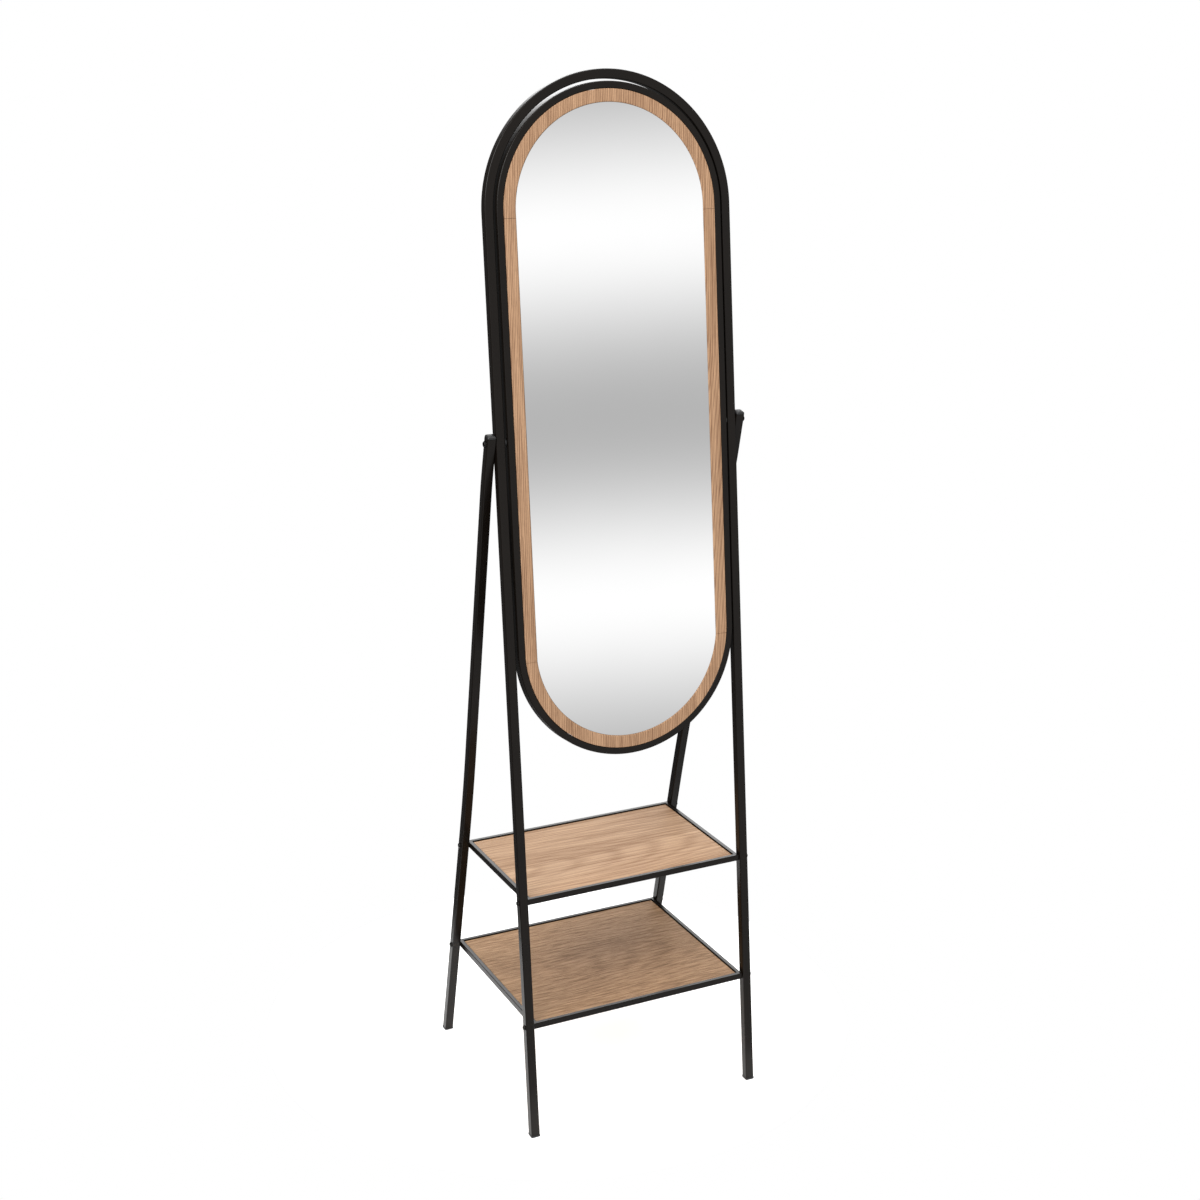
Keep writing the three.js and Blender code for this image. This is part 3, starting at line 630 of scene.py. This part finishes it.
def make_ring(material):
    for name, pairs in ring_edges().items():
        mesh = bmesh.new()
        add_rings(mesh, [ring_section(outer, inner) for outer, inner in pairs])
        node = f"wood_ring_{name}"
        finish_piece(f"{node}_oak", mesh, material, "mirror", [node], MIRROR_FRAME, 0.3 * MM)


def make_glass(material):
    outline = glass_outline(CLEARANCE)
    rings = [[p + Vector((0, y, 0)) for p in outline] for y in (RING_BACK - GLASS_THICKNESS, RING_BACK)]
    mesh = bmesh.new()
    add_rings(mesh, rings)
    nodes = ["mirror_glass"]
    finish_piece("mirror_glass_pane", mesh, material, "mirror", nodes, MIRROR_FRAME)


def make_backing(material):
    outline = [point for point, _ in oval(RIM_WIDTH + CLEARANCE)]
    rings = [[p + Vector((0, y, 0)) for p in outline] for y in (BACKING_FRONT, BACKING_BACK)]
    mesh = bmesh.new()
    add_rings(mesh, rings)
    nodes = ["backing_board"]
    name, slot = "backing_board_panel", "backing_board"
    finish_piece(name, mesh, material, "mirror", nodes, MIRROR_FRAME, 0.6 * MM)


def make_mirror(materials):
    make_rim(materials["paint"])
    make_ring(materials["ring"])
    make_glass(materials["glass"])
    make_backing(materials["backing"])
    seat = RIM_TAB_FRONT + TAB_THICKNESS + CLEARANCE
    for index, (x, z, angle) in enumerate(rim_tab_places()):
        hole = Vector((x + TAB_HOLE_INSET * math.cos(angle), seat, z - TAB_HOLE_INSET * math.sin(angle)))
        place = MIRROR_FRAME @ Matrix.Translation(hole) @ Matrix.Rotation(-math.pi / 2, 4, "X")
        node = f"backing_screw_{index + 1}"
        make_bolt(node, BACKING_SCREW, place, materials["zinc"], "mirror")


# ---- materials ----


class Nodes:
    """A node tree, written one node at a time. A value is a number, a colour or another node's socket."""

    def __init__(self, tree):
        self.tree = tree

    def node(self, kind, inputs=None, **settings):
        made = self.tree.nodes.new(kind)
        for key, value in settings.items():
            setattr(made, key, value)
        for key, value in (inputs or {}).items():
            self.feed(made.inputs[key], value)
        return made

    def feed(self, socket, value):
        if isinstance(value, bpy.types.NodeSocket):
            self.tree.links.new(value, socket)
        else:
            socket.default_value = value

    def noise(self, vector, scale=1.0, detail=3.0, roughness=0.5):
        inputs = {"Vector": vector, "Scale": scale, "Detail": detail, "Roughness": roughness}
        return self.node("ShaderNodeTexNoise", inputs).outputs["Fac"]

    def remap(self, value, low, high, to_low=0.0, to_high=1.0, kind="LINEAR"):
        inputs = {"Value": value, "From Min": low, "From Max": high, "To Min": to_low, "To Max": to_high}
        return self.node("ShaderNodeMapRange", inputs, interpolation_type=kind).outputs[0]

    def math(self, operation, a, b=0.0):
        return self.node("ShaderNodeMath", {0: a, 1: b}, operation=operation).outputs[0]

    def mix(self, factor, a, b):
        return self.node("ShaderNodeMix", {0: factor, 6: a, 7: b}, data_type="RGBA").outputs[2]


class Shader(Nodes):
    """A new material, and its surface."""

    def __init__(self, name):
        self.material = bpy.data.materials.new(name)
        self.material.use_nodes = True
        super().__init__(self.material.node_tree)
        self.surface = self.tree.nodes["Principled BSDF"]

    def set(self, **values):
        for key, value in values.items():
            self.feed(self.surface.inputs[key.replace("_", " ")], value)

    def position(self, scale=(1, 1, 1), rotation=(0, 0, 0), location=(0, 0, 0)):
        """The object's own coordinates in metres, turned and then scaled."""
        place = self.node("ShaderNodeTexCoord").outputs["Object"]
        inputs = {"Vector": place, "Rotation": rotation, "Location": location}
        turned = self.node("ShaderNodeMapping", inputs).outputs[0]
        return self.node("ShaderNodeMapping", {"Vector": turned, "Scale": scale}).outputs[0]

    def bump(self, height, distance, strength=1.0):
        inputs = {"Height": height, "Distance": distance, "Strength": strength}
        self.set(Normal=self.node("ShaderNodeBump", inputs).outputs[0])


def rgb(red, green, blue):
    """A colour given as it looks on screen, from 0 to 255, for a shader's socket."""

    def linear(value):
        value /= 255
        return value / 12.92 if value <= 0.04045 else ((value + 0.055) / 1.055) ** 2.4

    return (linear(red), linear(green), linear(blue), 1.0)


def painted_steel():
    """Satin black powder coat: a fine orange-peel skin, with slightly uneven gloss."""
    shader = Shader("satin_black_powder_coat")
    fine = shader.noise(shader.position(), 900, 2)
    broad = shader.noise(shader.position(), 14, 3)
    shader.set(Base_Color=shader.mix(broad, rgb(15, 11, 8), rgb(21, 16, 12)))
    shader.set(Roughness=shader.remap(broad, 0.3, 0.7, 0.25, 0.32), Specular_IOR_Level=0.2)
    shader.bump(fine, 0.02 * MM, 0.6)
    return shader.material


def plastic():
    shader = Shader("moulded_black_plastic")
    grain = shader.noise(shader.position(), 1500, 3)
    shader.set(Base_Color=shader.mix(grain, rgb(20, 20, 20), rgb(27, 27, 27)))
    shader.set(Roughness=shader.remap(grain, 0.3, 0.7, 0.4, 0.52))
    shader.bump(grain, 0.02 * MM, 0.5)
    return shader.material


def steel(name, colour, dark, roughness):
    shader = Shader(name)
    grain = shader.noise(shader.position(), 1100, 3)
    shader.set(Base_Color=shader.mix(grain, dark, colour))
    shader.set(Metallic=1.0, Roughness=shader.remap(grain, 0.3, 0.7, roughness - 0.06, roughness + 0.08))
    shader.bump(grain, 0.01 * MM, 0.4)
    return shader.material


RING_FIGURE = {
    "light": rgb(203, 163, 128),
    "dark": rgb(118, 84, 60),
    "place": (0.05, 0.02, 0),
    "warp": 0.05,
    "wobble": 0.002,
    "tilt": 0.08,
    "heart": 0.3,
    "ring": 3.4 * MM,
    "rings": 0.35,
    "streaks": 0.5,
    "streak_scale": (9, 420),
    "fibres": 0.3,
    "cloud": 0.2,
    "cloud_scale": (4, 60),
    "pores": 0.5,
}
UPPER_FIGURE = {
    "light": rgb(212, 175, 139),
    "dark": rgb(148, 112, 82),
    "place": (0.05, 0.06, -0.37),
    "warp": 0.07,
    "wobble": 0.005,
    "tilt": 0.12,
    "heart": 0.03,
    "ring": 8 * MM,
    "rings": 0.2,
    "streaks": 0.85,
    "streak_scale": (5, 620),
    "fibres": 0.3,
    "cloud": 0.4,
    "cloud_scale": (4, 34),
    "pores": 0.35,
}
LOWER_FIGURE = {
    "light": rgb(208, 168, 127),
    "dark": rgb(114, 83, 54),
    "place": (0.1, 0.03, -0.17),
    "warp": 0.09,
    "wobble": 0.006,
    "tilt": 0.15,
    "heart": 0.03,
    "ring": 9 * MM,
    "rings": 0.12,
    "streaks": 0.6,
    "streak_scale": (30, 620),
    "fibres": 0.6,
    "cloud": 0.12,
    "cloud_scale": (5, 20),
    "pores": 0.6,
}


def growth_rings(shader, figure, turn):
    """Thin dark lines where a log's rings meet the board, as arches about a heart that sinks along X."""
    place = figure["place"]
    warp = shader.noise(shader.position((2.2, 11, 11), turn, place), 1, 2)
    wobble = shader.noise(shader.position((9, 160, 160), turn, place), 1, 3)
    base = shader.position((1, 1, 1), turn, place)
    along, across, deep = shader.node("ShaderNodeSeparateXYZ", {"Vector": base}).outputs
    drift = shader.remap(warp, 0, 1, -figure["warp"] / 2, figure["warp"] / 2)
    side = shader.math("ADD", across, drift)
    sunk = shader.math("ADD", shader.math("MULTIPLY", along, figure["tilt"]), figure["heart"])
    depth = shader.math("ADD", deep, sunk)
    side_squared = shader.math("MULTIPLY", side, side)
    depth_squared = shader.math("MULTIPLY", depth, depth)
    radius = shader.math("SQRT", shader.math("ADD", side_squared, depth_squared))
    uneven = shader.remap(wobble, 0, 1, -figure["wobble"] / 2, figure["wobble"] / 2)
    phase = shader.math("MULTIPLY", shader.math("ADD", radius, uneven), 2 * math.pi / figure["ring"])
    return shader.math("POWER", shader.remap(shader.math("SINE", phase), -1, 1), 2.5)


def oak(name, figure, turn=(0, 0, 0)):
    """Lacquered oak, its grain along the texture's X: clouds, growth rings, streaks, fibres and pores."""
    shader = Shader(name)

    def grain(along, across, detail):
        place = shader.position((along, across, across), turn, figure["place"])
        return shader.noise(place, 1, detail, 0.6)

    rings = growth_rings(shader, figure, turn)
    streak = grain(*figure["streak_scale"], 4)
    fibre = grain(55, 2600, 3)
    cloud = grain(*figure["cloud_scale"], 3)
    pores = shader.remap(grain(48, 1900, 2), 0.62, 0.70)
    half_cloud = figure["cloud"] / 2
    tone = shader.math("MULTIPLY", rings, figure["rings"])
    tone = shader.math("ADD", tone, shader.remap(streak, 0.3, 0.7, 0, figure["streaks"]))
    tone = shader.math("ADD", tone, shader.remap(fibre, 0.3, 0.7, 0, figure["fibres"]))
    tone = shader.math("ADD", tone, shader.remap(cloud, 0.32, 0.68, -half_cloud, half_cloud))
    pore_colour = tuple(channel * 0.5 for channel in figure["dark"][:3]) + (1.0,)
    pore_depth = shader.math("MULTIPLY", pores, figure["pores"])
    wood = shader.mix(tone, figure["light"], figure["dark"])
    shader.set(Base_Color=shader.mix(pore_depth, wood, pore_colour), Specular_IOR_Level=0.22)
    shader.set(Roughness=shader.remap(tone, 0, 1, 0.52, 0.66))
    relief = shader.math("SUBTRACT", fibre, shader.math("MULTIPLY", pores, 1.2))
    shader.bump(relief, 0.05 * MM, 0.5)
    return shader.material


def silvered_glass():
    """A flat mirror with the very slight waviness of float glass."""
    shader = Shader("silvered_glass")
    wave = shader.noise(shader.position(), 7, 1)
    shader.set(Base_Color=shader.mix(wave, rgb(242, 242, 242), rgb(245, 245, 245)))
    shader.set(Metallic=1.0, Roughness=0.0)
    shader.bump(wave, 0.05 * MM, 0.15)
    return shader.material


def fibreboard():
    shader = Shader("dark_fibreboard")
    fibres = shader.noise(shader.position((300, 300, 900)), 1, 5, 0.7)
    broad = shader.noise(shader.position(), 12, 3)
    colour = shader.mix(fibres, rgb(62, 50, 40), rgb(86, 70, 56))
    shader.set(Base_Color=shader.mix(broad, colour, rgb(70, 57, 46)))
    shader.set(Roughness=shader.remap(fibres, 0.3, 0.7, 0.7, 0.85))
    shader.bump(fibres, 0.08 * MM, 0.5)
    return shader.material


def make_materials():
    ring_turn = (FRONT_LEAN, math.pi / 2, 0)
    return {
        "paint": painted_steel(),
        "plastic": plastic(),
        "black_steel": steel("black_oxide_steel", rgb(58, 57, 56), rgb(42, 41, 40), 0.34),
        "zinc": steel("zinc_plated_steel", rgb(200, 201, 203), rgb(178, 179, 182), 0.3),
        "ring": oak("oak_ring", RING_FIGURE, ring_turn),
        "upper_board": oak("oak_upper_board", UPPER_FIGURE),
        "lower_board": oak("oak_lower_board", LOWER_FIGURE),
        "glass": silvered_glass(),
        "backing": fibreboard(),
    }


# ---- stage ----

CAMERA_PLACE = Vector((-1.2203, -2.5507, 1.6438))
CAMERA_YAW = math.radians(25.543)
CAMERA_PITCH = math.radians(-15.106)
CAMERA_ROLL = math.radians(-0.294)
CAMERA_LENS = 56.49
CAMERA_SHIFT = (0.0077, -0.0460)

FLOOR_RADIUS = 0.5
FLOOR_MIDDLE = (0, 0.15, 0)
DIM_LEVEL = 0.12  # the studio below and beside the object
BEHIND_LEVEL = 3.8  # its wall behind, to the right
OVERHEAD_LEVEL = 0.5
STRIP_MIDDLE = -0.043  # the dim middle between the two strips, as a direction's Z
STRIP_SPACING = 0.195
STRIP_VALUES = (1.05, 0.74)  # on screen: at the strips and between them


def make_camera():
    """The camera stands to the left, a little higher than the object, and looks down at it."""
    data = bpy.data.cameras.new("camera")
    data.lens = CAMERA_LENS
    data.sensor_width = 36
    data.shift_x, data.shift_y = CAMERA_SHIFT
    camera = bpy.data.objects.new("camera", data)
    aim = Matrix.Rotation(-CAMERA_YAW, 4, "Z") @ Matrix.Rotation(math.pi / 2 + CAMERA_PITCH, 4, "X")
    camera.matrix_world = Matrix.Translation(CAMERA_PLACE) @ aim @ Matrix.Rotation(CAMERA_ROLL, 4, "Z")
    bpy.context.scene.collection.objects.link(camera)
    bpy.context.scene.camera = camera


def make_softbox(name, place, target, size, power):
    data = bpy.data.lights.new(name, "AREA")
    data.shape = "RECTANGLE"
    data.size, data.size_y = size
    data.energy = power
    lamp = bpy.data.objects.new(name, data)
    lamp.location = place
    lamp.rotation_euler = (Vector(target) - Vector(place)).to_track_quat("-Z", "Y").to_euler()
    bpy.context.scene.collection.objects.link(lamp)


def make_floor():
    shader = Shader("pale_floor")
    grain = shader.noise(shader.position(), 3, 2)
    shader.set(Base_Color=shader.mix(grain, rgb(250, 250, 250), rgb(252, 252, 252)), Roughness=0.9)
    shader.set(Emission_Color=(1, 1, 1, 1), Emission_Strength=0.5)
    mesh = bmesh.new()
    bmesh.ops.create_circle(mesh, cap_ends=True, radius=FLOOR_RADIUS, segments=64)
    data = bpy.data.meshes.new("floor")
    mesh.to_mesh(data)
    mesh.free()
    data.materials.append(shader.material)
    floor = bpy.data.objects.new("floor", data)
    floor.location = FLOOR_MIDDLE
    bpy.context.scene.collection.objects.link(floor)
    floor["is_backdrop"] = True


def make_world():
    """A white studio. What shines in the object is darker: a bright wall behind it, a dim floor, and two
    soft strips of light before it, which show in the mirror as two pale bands."""
    world = bpy.data.worlds.new("studio")
    world.use_nodes = True
    world.node_tree.nodes.clear()
    sky = Nodes(world.node_tree)
    direction = sky.node("ShaderNodeTexCoord").outputs["Generated"]
    x, y, z = sky.node("ShaderNodeSeparateXYZ", {"Vector": direction}).outputs

    phase = sky.math("MULTIPLY", sky.math("SUBTRACT", z, STRIP_MIDDLE), 2 * math.pi / STRIP_SPACING)
    screen_value = sky.remap(sky.math("COSINE", phase), -1, 1, *STRIP_VALUES)
    strips = sky.math("POWER", screen_value, 2.2)
    before = sky.remap(y, -0.1, -0.6, 0, 1, "SMOOTHSTEP")
    behind = sky.remap(y, 0.1, 0.7, 0, 1, "SMOOTHSTEP")
    behind = sky.math("MULTIPLY", behind, sky.remap(x, -0.1, 0.35, 0, 1, "SMOOTHSTEP"))
    behind = sky.math("MULTIPLY", behind, sky.remap(z, 0.05, 0.25, 0, 1, "SMOOTHSTEP"))
    behind = sky.math("MULTIPLY", behind, sky.remap(z, 0.7, 0.45, 0, 1, "SMOOTHSTEP"))
    overhead = sky.remap(z, 0.3, 0.9, 0, 1, "SMOOTHSTEP")
    level = sky.math("ADD", DIM_LEVEL, sky.math("MULTIPLY", behind, BEHIND_LEVEL))
    level = sky.math("ADD", level, sky.math("MULTIPLY", overhead, OVERHEAD_LEVEL))
    level = sky.math("ADD", level, sky.math("MULTIPLY", before, sky.math("SUBTRACT", strips, DIM_LEVEL)))

    white = (1, 1, 1, 1)
    studio = sky.node("ShaderNodeBackground", {"Color": white, "Strength": level})
    backdrop = sky.node("ShaderNodeBackground", {"Color": white, "Strength": 1.0})
    seen = sky.node("ShaderNodeLightPath").outputs["Is Camera Ray"]
    mixed = sky.node("ShaderNodeMixShader", {0: seen, 1: studio.outputs[0], 2: backdrop.outputs[0]})
    sky.node("ShaderNodeOutputWorld", {0: mixed.outputs[0]})
    bpy.context.scene.world = world


def make_stage():
    make_camera()
    make_floor()
    make_world()
    make_softbox("key", (-2.2, -1.7, 2.7), (0, 0, 0.6), (1.8, 1.8), 75)
    make_softbox("top", (0.2, 0.1, 3.4), (0, 0, 0.3), (2.2, 2.2), 40)
    bpy.context.scene.view_settings.view_transform = "Standard"


def dress_hidden_nodes(frame, materials):
    """The nuts inside the rim keep their CAD solids."""
    for side in SIDES:
        node = frame["nodes"][f"pivot_nut_{side}"]
        node.material_slots[0].material = materials["zinc"]


def corners(bounds):
    return [list(corner) for corner in bounds]


def main():
    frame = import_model()
    cad_box = corners(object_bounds())
    materials = make_materials()
    make_stage()
    make_stand(materials)
    for name, height in SHELF_HEIGHTS.items():
        make_shelf(name, height, materials)
    make_mirror(materials)
    make_pivots(materials)
    dress_hidden_nodes(frame, materials)
    {"cad": cad_box, "visual": corners(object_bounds())}


main()
